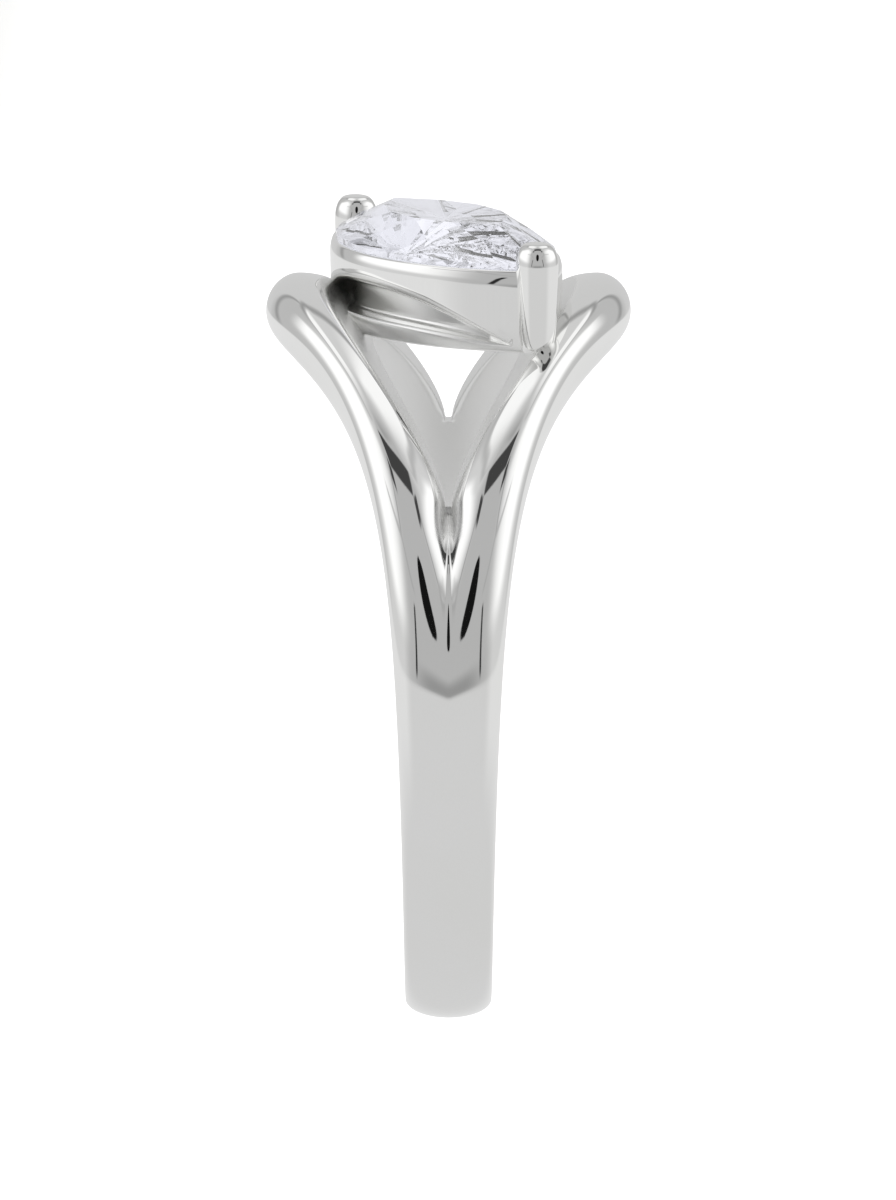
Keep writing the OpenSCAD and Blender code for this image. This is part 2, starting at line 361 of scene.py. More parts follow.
# Rows at angles from the top, each of them the outline of one arm's section, mirrored to all four quarters
def buildBand():
    valleyX = np.linspace(0, band["forkBottomHalf"], band["valleyColumns"])
    valleyStart = slotFront(valleyX)
    slotTop = float(valleyStart[-1])
    slotLow = math.degrees(math.acos(band["forkBottom"] / holeRadius))
    first, second, third = band["rows"]
    a = np.concatenate([np.linspace(0, slotLow, first), np.linspace(slotLow, slotTop, second)[1:],
                        np.linspace(slotTop, 180, third)[1:]])
    forked = np.arange(len(a)) < first + second - 1
    through = np.arange(len(a)) < first
    crest, dome, half = crestPlace(a), domeHeight(a), halfWidth(a)
    width = half - crest
    inner = innerWidth(a)
    # where the slot's wall meets the outer surface, by halving between the flank's radius and the crest
    low, high = gapAt((band["outerRadius"] - dome) * np.cos(np.radians(a))), crest.copy()
    for step in range(halvings):
        middle = (low + high) / 2
        cut = gapAt(skinRadius(a, middle) * np.cos(np.radians(a))) > middle
        low, high = np.where(cut, middle, low), np.where(cut, high, middle)
    edge = np.where(forked, (low + high) / 2, band["forkBottomHalf"])
    edge[first + second - 2] = band["forkBottomHalf"]
    topRadius = skinRadius(a, edge)
    floorRadius = band["forkBottom"] / np.maximum(np.cos(np.radians(a)), band["leastCosine"])
    lowRadius = np.where(through, holeRadius, floorRadius)
    # the edge's rounding shrinks towards the fork's bottom
    bend = band["edgeRound"] * mix(band["forkEdgeShare"], 1, smoothStep((slotTop - a) / band["forkEdgeRun"]))
    bend = np.where(forked, np.minimum(bend, band["wallShare"] * np.maximum(topRadius - lowRadius, 0)), 0)
    lowBend = np.where(through, band["edgeRound"] * smoothStep((slotLow - a) / band["lowEdgeRun"]), 0)

    # outer surface from the slot or valley over the crest to the flank
    start = np.arcsin(np.clip((edge - crest) / inner, -1, 1))
    speed = np.hypot(inner * np.cos(start), dome * np.sin(start))
    # level floor between the slot and the foot of the crest, where the ellipse stops short of the wall
    level = np.maximum(crest - inner - edge, 0)
    start = start + np.maximum(bend - level, 0) / speed
    f = start[:, None] + (math.pi / 2 - start[:, None]) * np.linspace(0, 1, band["skinColumns"])
    flankRadius = band["outerRadius"] - dome
    reach = np.where(f < 0, inner[:, None], width[:, None])
    skin = np.stack([crest[:, None] + reach * np.sin(f), flankRadius[:, None] + dome[:, None] * np.cos(f)], -1)
    lead = np.where((level > bend)[:, None], np.stack([edge + bend, flankRadius], -1), skin[:, 0])
    skin = np.concatenate([lead[:, None], skin], 1)
    # flank: a quarter ellipse that turns in slightly, cut off by the finger hole
    run = flankRadius - holeRadius + band["flankRun"]
    flankEnd = np.arcsin((flankRadius - holeRadius - band["holeEdgeRound"]) / run)
    cornerTurn = np.arcsin((flankRadius - holeRadius) / run)
    g = flankEnd[:, None] * np.linspace(0, 1, band["flankColumns"])
    inset = mix(band["footInset"], band["armInset"], flare(a))
    flankX = half[:, None] - inset[:, None] * (1 - np.cos(g))
    flank = np.stack([flankX, flankRadius[:, None] - run[:, None] * np.sin(g)], -1)
    holeX = half - inset * (1 - np.cos(cornerTurn))
    lowGap = np.where(through, gapAt(holeRadius * np.cos(np.radians(a))), band["forkBottomHalf"])
    # the inside is faintly domed for comfort: it falls away from the finger by a square law towards the flanks
    across = np.linspace(0, 1, band["floorColumns"])
    floorX = (holeX - band["holeEdgeRound"])[:, None] * (1 - across) + (lowGap + lowBend)[:, None] * across
    away = np.maximum(floorX - band["forkBottomHalf"], 0) / (holeX[:, None] - band["forkBottomHalf"])
    floor = np.stack([floorX, holeRadius + band["comfort"] * away ** 2], -1)
    holeEnd = floor[:, -1]
    corner = roundCorner(flank[:, -1], np.stack([holeX, floor[:, 0, 1]], -1), floor[:, 0], band["cornerColumns"])
    shell = np.concatenate([skin, flank[:, 1:], corner[:, 1:], floor[:, 1:]], 1)

    # the slot's wall runs straight through from front to back, with both of its edges rounded
    w = np.nonzero(forked)[0]
    depth = np.linspace(0, 1, band["wallColumns"])
    r = (topRadius - bend)[w, None] * (1 - depth) + (lowRadius + lowBend)[w, None] * depth
    wallX = gapAt(r * np.cos(np.radians(a[w]))[:, None])
    wall = np.stack([wallX, r], -1)
    topCorner = roundCorner(skin[w, 0], np.stack([edge, topRadius], -1)[w], wall[:, 0], band["cornerColumns"])
    lowCorner = roundCorner(wall[:, -1], np.stack([lowGap, lowRadius], -1)[w],
                            np.where(through[w, None], holeEnd[w], wall[:, -1]), band["cornerColumns"])
    slot = np.concatenate([topCorner, wall[:, 1:], lowCorner[:, 1:]], 1)

    # the valley below the slot, its mirror inside the hole, and the slot's level bottom
    below = np.nonzero(~forked)[0]
    below = np.concatenate([[below[0] - 1], below])
    share = ((a[below] - slotTop) / (180 - slotTop))[:, None]
    valleyA = valleyStart + (180 - valleyStart) * share
    valleyR = valleyRadius(valleyA, np.broadcast_to(valleyX, valleyA.shape))
    valley = aroundFinger(np.stack([np.broadcast_to(valleyX, valleyA.shape), valleyR], -1), valleyA)
    closed = np.concatenate([[first - 1], np.nonzero(~through)[0]])
    lowValley = np.stack(np.broadcast_arrays(valleyX[None, :], np.full((len(closed), 1), holeRadius)), -1)
    lowValley = aroundFinger(lowValley, a[closed])
    part = np.arange(first - 1, first + second - 1)
    depthY = band["forkBottom"] * np.tan(np.radians(a[part]))
    frontY = band["forkBottom"] * np.tan(np.radians(valleyStart))
    along = ((depthY - depthY[0]) / (depthY[-1] - depthY[0]))[:, None]
    bottomY = depthY[0] + (frontY - depthY[0]) * along
    bottom = np.stack(np.broadcast_arrays(valleyX[None, :], -bottomY, np.float64(band["forkBottom"])), -1)

    points, faces, uv, count = [], [], [], 0
    grids = [aroundFinger(shell, a), aroundFinger(slot, a[w]), valley, lowValley, bottom]
    for signX in (1, -1):
        for signY in (1, -1):
            for grid in grids:
                rows, columns = grid.shape[:2]
                points.append((grid * [signX, signY, 1]).reshape(-1, 3))
                faces.append(gridFaces(rows, columns, count))
                # metres along the band and metres across it
                u = np.arctan2(-grid[..., 1], grid[..., 2]) * band["outerRadius"]
                uv.append(np.stack([u, runAcross(grid)], -1).reshape(-1, 2) * mm)
                count += rows * columns
    points, faces, uv = np.concatenate(points), np.concatenate(faces), np.concatenate(uv)
    piece = makePiece("shank_and_arms", place(points), faces, uv, whiteGold)
    # satin by the distance from the finger's axis, and by the distance from the slot's wall
    x, y, z = weldedPoints(piece).T
    inside = smoothStep((holeRadius + band["satinDepth"] - np.hypot(y, z)) / band["satinFade"])
    reach = mix(band["slotSatin"], band["forkSatin"], fade(z, band["forkSatinTop"]))
    slotWall = smoothStep((gapAt(z) + reach - np.abs(x)) / (reach * band["slotSatinSoft"]))
    setPointValue(piece.data, "satin", np.maximum(inside, slotWall * fade(z, band["forkSatinFoot"])))
    return piece


bandPiece = buildBand()
bandPiece.data.set_sharp_from_angle(angle=sharpAngle)

# Head: a pointed-oval gallery with an upper rail, a recessed window in each long side and a lower rail
head = {
    "turn": 60.0,
    "shift": -0.07,
    "length": 10.7,
    "width": 5.4,
    "bottom": 9.04,
    "top": 11.36,
    "lowerRail": 0.2,
    "lowerRise": 0.36,
    "sillPower": 2.8,
    "windowDepth": 0.65,
    "windowLength": 9.6,
    "windowEnd": 0.24,
    "windowRise": 1.2,
    "windowPower": 2.3,
    "windowFade": 0.3,
    "lipRound": 0.13,
    "upperLipRound": 0.3,
    "lipShare": 0.45,
    "wallLean": 0.05,
    "wallRound": 0.09,
    "wallRoundStart": 10.98,
    "railRound": 0.08,
    "railRoundStart": 9.65,
    # the recess can't be reached by the buff and stays satin, and the lower rail is buffed less than the wall
    "recessSatin": 0.45,
    "recessInset": (0.1, 0.18),
    "recessFoot": 9.3,
    "railSatin": 0.75,
    "railHeights": (9.75, 9.65),
    "edgeRound": 0.06,
    "railWidth": 0.17,
    "stonePoint": 10.3,
    "stoneWidth": 5.2,
    "seat": ((1.0, 11.33), (0.72, 10.83), (0.46, 10.28), (0.27, 9.9)),
    "holeLength": 5.35,
    "holeWidth": 1.33,
    "sideSteps": 160,
    "wallRings": (0.1, 0.9, 8),
    "recessRings": (0.15, 0.85, 5),
    "railRings": (0.3, 0.7),
    "cornerColumns": 5,
}


# Head millimetres to ring millimetres: turned clockwise about the upright axis and shifted along the finger
def seatInRing(points):
    turn = math.radians(-head["turn"])
    c, s = math.cos(turn), math.sin(turn)
    x, y = points[..., 0], points[..., 1]
    return np.stack([x * c - y * s, x * s + y * c, points[..., 2]], -1) + [head["shift"], 0, 0]


# The way back, from ring millimetres to head millimetres
def turnedBack(points):
    turn = math.radians(head["turn"])
    c, s = math.cos(turn), math.sin(turn)
    x, y = points[:, 0] - head["shift"], points[:, 1]
    return np.stack([x * c - y * s, x * s + y * c, points[:, 2]], -1)


# One side of a pointed oval: an arc of radius (l*l + w*w) / 4w, moved inwards by the inset,
# t from -1 to 1 between the points
def ovalSide(t, length, width, inset=0.0):
    radius = (length * length + width * width) / (4 * width)
    offset = radius - width / 2
    r = radius - np.asarray(inset, float)
    reach = np.arccos(np.clip(offset / r, -1, 1))
    return np.stack([r * np.sin(reach * t), r * np.cos(reach * t) - offset], -1)


# One outline for each step of the head's section, from the top rim down the wall, through the window and under
# to the stone's seat, each a pointed oval drawn in by its inset
def buildHead():
    # steps are closer together near the points, where the window ends
    t = np.sin(np.linspace(-math.pi / 2, math.pi / 2, head["sideSteps"]))
    outer = ovalSide(t, head["length"], head["width"])
    x = outer[:, 0]
    halfWindow = head["windowLength"] / 2
    # both edges of the window fall to its pointed ends by a power of the distance from the middle
    along = np.minimum(np.abs(x) / halfWindow, 1)
    lower = head["bottom"] + head["lowerRail"] + head["lowerRise"] * (1 - along ** head["sillPower"])
    upper = head["bottom"] + head["windowEnd"] + head["windowRise"] * (1 - along ** head["windowPower"])
    depth = head["windowDepth"] * smoothStep((halfWindow - np.abs(x)) / head["windowFade"])
    room = np.minimum(depth, upper - lower) * head["lipShare"]
    small, lip = np.minimum(head["lipRound"], room), np.minimum(head["upperLipRound"], room)
    e, top, bottom, rim = head["edgeRound"], head["top"], head["bottom"], head["railWidth"]
    zero = np.zeros_like(t)

    # a ring of the head's section at an inset and a height; the wall leans out as it rises and rolls in at its
    # top and bottom by a square law
    def ring(inset, z):
        lean = head["wallLean"] * (top - z) / (top - bottom)
        roll = np.maximum(z - head["wallRoundStart"], 0) / (top - head["wallRoundStart"])
        under = np.maximum(head["railRoundStart"] - z, 0) / (head["railRoundStart"] - bottom)
        drawn = lean - head["wallLean"] + head["wallRound"] * roll ** 2 + head["railRound"] * under ** 2
        flat = ovalSide(t, head["length"], head["width"], inset + drawn + zero)
        return np.concatenate([flat, (z + zero)[:, None]], 1)

    def rounded(first, corner, last):
        return list(np.moveaxis(roundCorner(first, corner, last, head["cornerColumns"]), 1, 0))

    rings = rounded(ring(rim, top - e), ring(rim, top), ring(rim - e, top))
    rings += rounded(ring(e, top), ring(0, top), ring(0, top - e))
    rings += [ring(0, mix(top - e, upper + lip, k)) for k in np.linspace(*head["wallRings"])]
    rings += rounded(ring(0, upper + lip), ring(0, upper), ring(lip, upper))
    rings += rounded(ring(depth - small, upper), ring(depth, upper), ring(depth, upper - small))
    rings += [ring(depth, mix(upper - small, lower + small, k)) for k in np.linspace(*head["recessRings"])]
    rings += rounded(ring(depth, lower + small), ring(depth, lower), ring(depth - small, lower))
    rings += rounded(ring(small, lower), ring(0, lower), ring(0, lower - small))
    rings += [ring(0, mix(lower - small, bottom + e, k)) for k in head["railRings"]]
    rings += rounded(ring(0, bottom + e), ring(0, bottom), ring(e, bottom))
    hole = ovalSide(t, head["holeLength"], head["holeWidth"])
    rings += [np.concatenate([hole, (z + zero)[:, None]], 1) for z in (bottom, bottom + e)]
    for share, z in reversed(head["seat"]):
        flat = ovalSide(t, head["stonePoint"] * share, head["stoneWidth"] * share)
        rings.append(np.concatenate([flat, (z + zero)[:, None]], 1))
    rings.append(rings[0])
    side = np.stack(rings, 1)
    rows, columns = side.shape[:2]
    u, v = np.broadcast_arrays(x[:, None], runAcross(side))
    points = np.concatenate([side.reshape(-1, 3), (side * [-1, -1, 1]).reshape(-1, 3)])
    faces = np.concatenate([gridFaces(rows, columns), gridFaces(rows, columns, rows * columns)])
    uv = np.tile(np.stack([u, v], -1).reshape(-1, 2) * mm, (2, 1))
    piece = makePiece("head_gallery", place(seatInRing(points)), faces, uv, whiteGold)
    # satin by how far a point lies in from the wall's arc, and by its height
    x, y, z = turnedBack(weldedPoints(piece)).T
    radius = (head["length"] ** 2 + head["width"] ** 2) / (4 * head["width"])
    inset = radius - np.hypot(x, np.abs(y) + radius - head["width"] / 2)
    recess = head["recessSatin"] * fade(inset, head["recessInset"])
    recess *= (z > head["recessFoot"]) * (z < head["wallRoundStart"])
    setPointValue(piece.data, "satin", np.maximum(recess, head["railSatin"] * fade(z, head["railHeights"])))
    return piece


headPiece = buildHead()
headPiece.data.set_sharp_from_angle(angle=sharpAngle)

# Prongs: rounded posts over the stone's points, drawn in at the foot and domed at the top
prong = {
    "out": 5.08,
    "length": 1.24,
    "width": 1.15,
    # height and how far the outline is drawn in there, from the foot to the top
    "profile": ((9.02, 0.31), (9.04, 0.23), (9.1, 0.16), (9.25, 0.11), (9.7, 0.06), (10.3, 0.03), (11.0, 0.01),
                (11.5, 0.0), (11.65, 0.008), (11.78, 0.03), (11.91, 0.071), (12.0, 0.122), (12.07, 0.18), (12.11, 0.24),
                (12.13, 0.3), (12.14, 0.36)),
    "between": 5,
    "around": 72,
    "smoothing": 5,
    "capRings": (0.0, 0.4, 0.8),
    # how square the outline is: 2 is an ellipse
    "square": 2.2,
}


# Outline at an inset: a slightly squared ellipse, cos and sin to the power of 2 / square
def prongOutline(inset):
    turn = np.linspace(0, 2 * math.pi, prong["around"] + 1)
    c, s = np.cos(turn), np.sin(turn)
    power = 2 / prong["square"]
    x = (prong["length"] / 2 - inset)[:, None] * np.sign(c) * np.abs(c) ** power
    y = (prong["width"] / 2 - inset)[:, None] * np.sign(s) * np.abs(s) ** power
    return np.stack([prong["out"] + x, y], -1)


# The outline at each height of the profile, side 1 for the near point of the stone and -1 for the far one
def buildProng(name, side):
    table = np.array(prong["profile"])
    key = np.arange(len(table))
    fine = np.linspace(0, key[-1], (len(table) - 1) * prong["between"] + 1)
    # a smooth curve through the table's rows: each value is blended with its neighbours
    window = np.full(prong["smoothing"], 1 / prong["smoothing"])
    z, inset = (np.convolve(np.pad(np.interp(fine, key, column), len(window) // 2, "edge"), window, "valid")
                for column in table.T)
    outline = prongOutline(inset)
    # closed below and above by rings that shrink to the middle
    middle = np.array([prong["out"], 0.0])
    shrink = np.array(prong["capRings"])[:, None, None]
    foot, top = middle + (outline[0] - middle) * shrink, middle + (outline[-1] - middle) * shrink[::-1]
    outline = np.concatenate([foot, outline, top])
    z = np.pad(z, len(shrink), "edge")
    grid = np.concatenate([outline, np.broadcast_to(z[:, None, None], outline.shape[:2] + (1,))], 2) * [side, side, 1]
    v = runAcross(outline)
    uv = np.stack([np.broadcast_to(z[:, None], v.shape), v], -1).reshape(-1, 2) * mm
    return makePiece(name, place(seatInRing(grid.reshape(-1, 3))), gridFaces(*v.shape), uv, whiteGold)


prongPieces = [buildProng("prong_near", 1), buildProng("prong_far", -1)]

# Stone: a marquise brilliant with table, stars, kites, girdle and pavilion, all facets flat
stone = {
    "length": 10.3,
    "width": 5.2,
    "girdleHeight": 11.38,
    "girdle": 0.14,
    "crown": 0.85,
    "pavilion": 2.1,
    "table": 0.56,
    "star": 0.79,
    "starHeight": 0.52,
    "lower": 0.42,
    "lowerHeight": 0.52,
    "mains": 10,
    "stepsPerMain": 2,
}


# Corners of the stone at one size and height: turns in whole mains, run round the pointed oval
def stoneRing(turns, size, z):
    u = np.asarray(turns, float) / stone["mains"] * 2 % 2
    side = np.where(u < 1, 1.0, -1.0)
    flat = ovalSide(1 - 2 * (u % 1), stone["length"], stone["width"]) * side[:, None] * size
    return np.concatenate([flat, np.full((len(flat), 1), z)], 1)


# A colourless stone bends light strongly and splits it into faint colours; the tint is a trace of lilac grey
def brilliantCutDiamond(settings):
    material, tree = newMaterial("colourless diamond, faceted and polished")
    coordinates = addNode(tree, "ShaderNodeTexCoord")
    # growth grain and dust specks, only just visible on the facets
    specks = addNode(tree, "ShaderNodeTexNoise", {"Scale": settings["speckScale"], "Detail": 2.0},
                     {"Vector": coordinates.outputs["Object"]})
    wear = addNode(tree, "ShaderNodeMapRange",
                   {"From Min": 0.6, "From Max": 0.8, "To Min": 0.0, "To Max": settings["wear"]},
                   {"Value": specks.outputs["Fac"]})
    shader = addNode(tree, "ShaderNodeBsdfPrincipled",
                     {"Base Color": linear(settings["colour"]), "IOR": settings["ior"], "Transmission Weight": 1.0},
                     {"Roughness": wear.outputs["Result"]})
    addNode(tree, "ShaderNodeOutputMaterial", None, {"Surface": shader.outputs["BSDF"]})
    return material


stoneLook = {"colour": "#F6F6FC", "ior": 2.417, "speckScale": 1 / (0.4 * mm), "wear": 0.03}
clearStone = brilliantCutDiamond(stoneLook)


# Flat facets between rings of corners: table, stars, girdle top and bottom, lower halves, and the culet
def buildStone():
    n, k = stone["mains"], stone["stepsPerMain"]
    m = n * k
    base = stone["girdleHeight"]
    girdleTop = base + stone["girdle"]
    mains = np.arange(n)
    points = np.concatenate([
        stoneRing(mains, stone["table"], girdleTop + stone["crown"]),
        stoneRing(mains + 0.5, stone["star"], girdleTop + stone["crown"] * stone["starHeight"]),
        stoneRing(np.arange(m) / k, 1, girdleTop),
        stoneRing(np.arange(m) / k, 1, base),
        stoneRing(mains + 0.5, stone["lower"], base - stone["pavilion"] * stone["lowerHeight"]),
        [[0, 0, base - stone["pavilion"]]],
    ])
    starAt, girdleAt, underAt = n, 2 * n, 2 * n + m
    lowerAt, culetAt = underAt + m, underAt + m + n
    faces = [list(range(n))]
    for i in range(n):
        after, before = (i + 1) % n, (i - 1) % n
        faces += [[i, starAt + i, after], [i, starAt + before, girdleAt + i * k], [i, girdleAt + i * k, starAt + i]]
        edge = underAt + (after * k) % m
        faces += [[culetAt, lowerAt + i, edge], [culetAt, edge, lowerAt + after]]
        for j in range(k):
            g, h = i * k + j, (i * k + j + 1) % m
            faces += [[starAt + i, girdleAt + g, girdleAt + h], [lowerAt + i, underAt + h, underAt + g],
                      [girdleAt + g, underAt + g, underAt + h, girdleAt + h]]
    return makePiece("cut_stone", place(seatInRing(points)), faces, None, clearStone, smooth=False)


stonePiece = buildStone()

for piece in [bandPiece, headPiece] + prongPieces:
    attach(piece, "root")
    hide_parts("band_with_setting")
# the paper sees nothing of the ring, so it stays evenly white
for piece in [bandPiece, headPiece, stonePiece] + prongPieces:
    piece.visible_diffuse = False
    piece.visible_shadow = False
# light that leaves the stone passes the metal, so the stone stays as pale as over an open gallery
for piece in [bandPiece, headPiece] + prongPieces:
    piece.visible_transmission = False
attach(stonePiece, "root")
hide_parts("marquise_stone")
print("ring built")

# Studio: a white sweep under and behind the ring
studio = {
    "halfWidth": 1.6,
    "front": -2.0,
    "bend": 1.6,
    "bendRadius": 0.6,
    "height": 1.6,
    "bendSteps": 24,
    "columns": 5,
    "paperColour": "#F4F4F3",
    "worldColour": "#F2F3F4",
    "worldStrength": 1.0,
}


# Matt paper: even white with a soft mottle and a fine tooth, so it never mirrors the ring
def coatedPaperSweep(settings):
    material, tree = newMaterial("white background paper, matt coated")
    coordinates = addNode(tree, "ShaderNodeTexCoord")
    # paper fibres are finer than 0.1 mm; drawn in clumps of 2 mm so that they show
    fibre = addNode(tree, "ShaderNodeTexNoise", {"Scale": 1 / (2 * mm), "Detail": 5.0},
                    {"Vector": coordinates.outputs["Object"]})
    tooth = addNode(tree, "ShaderNodeBump", {"Strength": 0.05, "Distance": 0.05 * mm},
                    {"Height": fibre.outputs["Fac"]})
    shader = addNode(tree, "ShaderNodeBsdfPrincipled",
                     {"Base Color": linear(settings["paperColour"]), "Roughness": 0.9, "Specular IOR Level": 0.1},
                     {"Normal": tooth.outputs["Normal"]})
    addNode(tree, "ShaderNodeOutputMaterial", None, {"Surface": shader.outputs["BSDF"]})
    return material


# A profile of level floor, quarter circle and wall, carried straight across
def buildSweep():
    turn = np.linspace(0, math.pi / 2, studio["bendSteps"])
    wallY = studio["bend"] + studio["bendRadius"]
    y = np.concatenate([[studio["front"], 0], studio["bend"] + studio["bendRadius"] * np.sin(turn), [wallY]])
    z = np.concatenate([[0, 0], studio["bendRadius"] * (1 - np.cos(turn)), [studio["height"]]])
    x = np.linspace(-studio["halfWidth"], studio["halfWidth"], studio["columns"])
    grid = np.stack(np.broadcast_arrays(x, y[:, None], z[:, None]), -1)
    faces = gridFaces(*grid.shape[:2])
    return makePiece("paper_sweep", grid.reshape(-1, 3), faces, None, coatedPaperSweep(studio))


sweep = buildSweep()
# the metal mirrors the tent all round, on the paper's side too
sweep.visible_glossy = False
sweep.visible_transmission = False
world = bpy.data.worlds.new("studio")
world.use_nodes = True
world.node_tree.nodes["Background"].inputs["Color"].default_value = linear(studio["worldColour"])
world.node_tree.nodes["Background"].inputs["Strength"].default_value = studio["worldStrength"]
bpy.context.scene.world = world

# Light tent: a dome of lit cloth, the same on the left and the right of the ring. Levels are the grey that the
# metal should show, 0 to 255. Angles are degrees, across from the camera and up. Two values are where one level
# starts and ends giving way to the next; three are a band's two sides and how soft they are
tent = {
    "radius": 2.6,
    "step": 0.75,
    "metalShare": 0.90,
    "colour": "#FFFFFF",
    "leastSine": 1e-3,
    "wall": {"level": 178, "sideLevel": 206, "turn": (45, 70)},
    "back": {"level": 184, "middleLevel": 199, "turn": (108, 132), "middleTurn": (146, 156)},
    "backLine": {"level": 152, "lean": 3, "across": (140, 145, 5), "up": (-5, 40, 6)},
    "sideBox": {"level": 257, "front": (38, 84), "back": (131, 118), "bottom": (-2, 8), "top": (54, 40),
                "leanFrom": 22, "lean": 1.2},
    "ceiling": {"frontLevel": 142, "backLevel": 248, "behindLevel": 205, "zenithLevel": 190, "turn": (0, 130),
                "behind": (148, 173), "zenith": (90, 72), "edge": 43, "backRise": 17, "backRiseTurn": (138, 83),
                "frontRise": 14, "frontRiseTurn": (70, 50), "soft": (1, 5)},
    "valance": {"level": 180, "backLevel": 152, "turn": (125, 150), "up": (-3, 2, 5), "start": (55, 70)},
    "foot": {"level": 146, "up": (-8, -2, 5), "turn": (48, 13)},
    "table": {"level": 205, "sideLevel": 221, "turn": (48, 70), "near": (-40, -10), "edge": (-5.75, -7.25)},
    # places in the plane one unit overhead: ahead of the ring and aside
    "strip": {"level": 64, "ahead": (0.29, 0.53, 0.03), "aside": (-1, 0.37, 0.06),
              "endAcross": (35, 46, 3), "endUp": (48, 56, 3)},
    # places in the plane one unit in front of the ring
    "card": {"level": 20, "low": 0.2, "high": 0.75, "half": 0.17, "soft": 0.02, "widest": 80, "steepest": 85, "far": 9},
    "seam": {"level": 40, "across": 31, "height": 15, "lean": 0.35, "half": 1.4, "soft": 1, "up": (-4, 15, 3)},
    "fold": {"level": 156, "across": (46.5, 49.5, 2.5), "up": (30, 50, 4)},
    "lowFold": {"share": 0.6, "corner": 48, "height": 30, "frontLean": 0.45, "sideLean": 0.12, "half": 1.2,
                "soft": 2, "across": (27, 74, 6)},
}


# Share of a band between two values, with soft ends
def between(value, low, high, soft):
    return smoothStep((value - low) / soft + 0.5) * smoothStep((high - value) / soft + 0.5)


# Grey of the tent in a direction: each part gives way to the next by its share there
def tentGrey(across, up):
    side = np.abs(across)
    # front wall, paler at the sides, and the duller wall behind the ring
    wall, back, line = tent["wall"], tent["back"], tent["backLine"]
    grey = mix(wall["level"], wall["sideLevel"], fade(side, wall["turn"]))
    backGrey = mix(back["level"], back["middleLevel"], fade(side, back["middleTurn"]))
    grey = mix(grey, backGrey, fade(side, back["turn"]))
    grey = mix(grey, line["level"], between(side - up / line["lean"], *line["across"]) * between(up, *line["up"]))
    # soft boxes left and right
    box = tent["sideBox"]
    leaning = side + np.maximum(up - box["leanFrom"], 0) * box["lean"]
    share = fade(side, box["front"]) * fade(leaning, box["back"]) * fade(up, box["bottom"]) * fade(up, box["top"])
    grey = mix(grey, box["level"], share)
    # ceiling, dark over the camera and pale over the back, hung with a grey valance along its edge
    ceiling, valance = tent["ceiling"], tent["valance"]
    edge = ceiling["edge"] + ceiling["backRise"] * fade(side, ceiling["backRiseTurn"])
    edge += ceiling["frontRise"] * fade(side, ceiling["frontRiseTurn"])
    above = mix(ceiling["frontLevel"], ceiling["backLevel"], fade(side, ceiling["turn"]))
    above = mix(above, ceiling["behindLevel"], fade(side, ceiling["behind"]))
    above = mix(ceiling["zenithLevel"], above, fade(up, ceiling["zenith"]))
    grey = mix(grey, above, fade(up - edge, ceiling["soft"]))
    hung = mix(valance["level"], valance["backLevel"], fade(side, valance["turn"]))
    grey = mix(grey, hung, between(up - edge, *valance["up"]) * fade(side, valance["start"]))
    # darker foot of the front wall above the pale table
    foot, table = tent["foot"], tent["table"]
    grey = mix(grey, foot["level"], between(up, *foot["up"]) * fade(side, foot["turn"]))
    top = mix(table["level"], table["sideLevel"], fade(side, table["turn"]) * fade(up, table["near"]))
    grey = mix(grey, top, fade(up, table["edge"]))
    # dark gap in the ceiling, a straight strip in the plane overhead
    strip = tent["strip"]
    level = np.cos(np.radians(up)) / np.maximum(np.sin(np.radians(up)), tent["leastSine"])
    aside, ahead = level * np.sin(np.radians(across)), level * np.cos(np.radians(across))
    gap = between(ahead, *strip["ahead"]) * between(np.abs(aside), *strip["aside"])
    gap = np.maximum(gap, between(side, *strip["endAcross"]) * between(up, *strip["endUp"]))
    grey = mix(grey, strip["level"], gap)
    # black card in front, a narrow upright ellipse
    card = tent["card"]
    widest, steepest = card["widest"], card["steepest"]
    frontX = np.where(side < widest, np.tan(np.radians(np.clip(across, -widest, widest))), card["far"])
    frontZ = np.tan(np.radians(np.clip(up, -steepest, steepest)))
    frontZ = frontZ / np.maximum(np.cos(np.radians(across)), tent["leastSine"])
    middle, half = (card["low"] + card["high"]) / 2, (card["high"] - card["low"]) / 2
    swell = np.sqrt(np.clip(1 - ((frontZ - middle) / half) ** 2, 0, 1))
    inCard = smoothStep((card["half"] * swell - np.abs(frontX)) / card["soft"] + 0.5)
    grey = mix(grey, card["level"], inCard * between(frontZ, card["low"], card["high"], card["soft"]))
    # seams of the front wall, thin dark lines that lean outwards going down
    seam = tent["seam"]
    fromSeam = side - seam["across"] - (seam["height"] - up) * seam["lean"]
    onSeam = between(fromSeam, -seam["half"], seam["half"], seam["soft"]) * between(up, *seam["up"])
    grey = mix(grey, seam["level"], onSeam)
    # folds where the wall's cloth meets the boxes: one upright, one along their lower front
    fold, low = tent["fold"], tent["lowFold"]
    fromCorner = side - low["corner"]
    fromFold = up - low["height"] + np.where(fromCorner < 0, -low["frontLean"], low["sideLean"]) * fromCorner
    onFold = between(fromFold, -low["half"], low["half"], low["soft"]) * between(side, *low["across"]) * low["share"]
    onFold = np.maximum(onFold, between(side, *fold["across"]) * between(up, *fold["up"]))
    return mix(grey, fold["level"], onFold)


